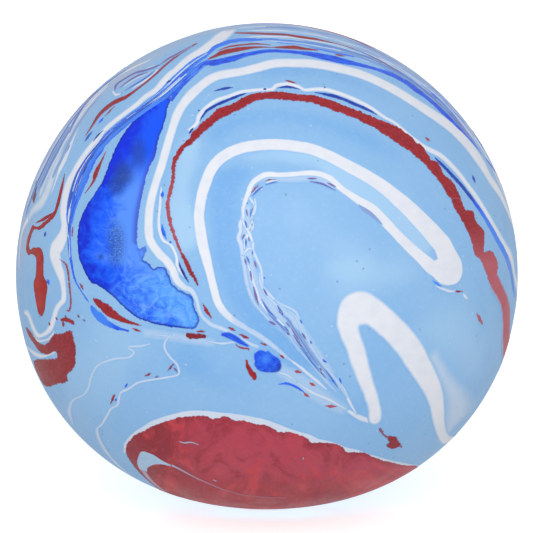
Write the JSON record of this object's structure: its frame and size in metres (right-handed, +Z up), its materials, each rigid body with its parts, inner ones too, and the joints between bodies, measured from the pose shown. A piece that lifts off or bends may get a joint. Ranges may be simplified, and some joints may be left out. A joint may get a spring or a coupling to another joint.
{
  "type": "soft marbled squeeze ball",
  "caption": "Soft, stretchy, gel-filled squeeze ball of marbled rubber in light blue, white, red and royal blue, slumped a little flat where it rests.",
  "frame": {"origin": "middle of the flat patch that the ball rests on", "axes": "+Z up from the rest patch through the crown, -Y towards the pictured side, +X to its right"},
  "size_m": [0.07, 0.07, 0.0664],
  "materials": {
    "base_rubber": "satin, slightly tacky, light blue",
    "white_rubber": "satin, milky white",
    "red_rubber": "satin, deep red, uneven pigment",
    "blue_rubber": "satin, royal blue, a little see-through",
    "gel": "clear sticky gel, sealed inside",
    "plug_rubber": "satin light blue",
    "glue": "clear set glue, glossy"
  },
  "bodies": {
    "root": {"skin": "base_rubber", "gel_filling": "gel", "fill_plug": "plug_rubber", "plug_glue": "glue", "white_outer_ribbon": "white_rubber", "white_arch_line": "white_rubber", "white_inner_hairpin": "white_rubber", "white_lower_hairpin": "white_rubber", "white_left_line": "white_rubber", "white_lobe_rim": "white_rubber", "red_arch": "red_rubber", "red_bottom_lobe": "red_rubber", "red_left_patch": "red_rubber", "red_left_drop": "red_rubber", "red_shoulder_streak": "red_rubber", "red_pool_dash": "red_rubber", "red_pool_sliver": "red_rubber", "red_crown_line": "red_rubber", "red_spot": "red_rubber", "blue_pool": "blue_rubber", "blue_pool_sliver": "blue_rubber", "blue_top_band": "blue_rubber", "blue_arch_line": "blue_rubber", "blue_left_streak": "blue_rubber", "blue_spot": "blue_rubber", "white_back_ribbon": "white_rubber", "white_back_hairpin": "white_rubber", "red_back_arch": "red_rubber", "red_back_patch": "red_rubber", "blue_back_pool": "blue_rubber", "blue_back_streak": "blue_rubber"}
  },
  "joints": []
}
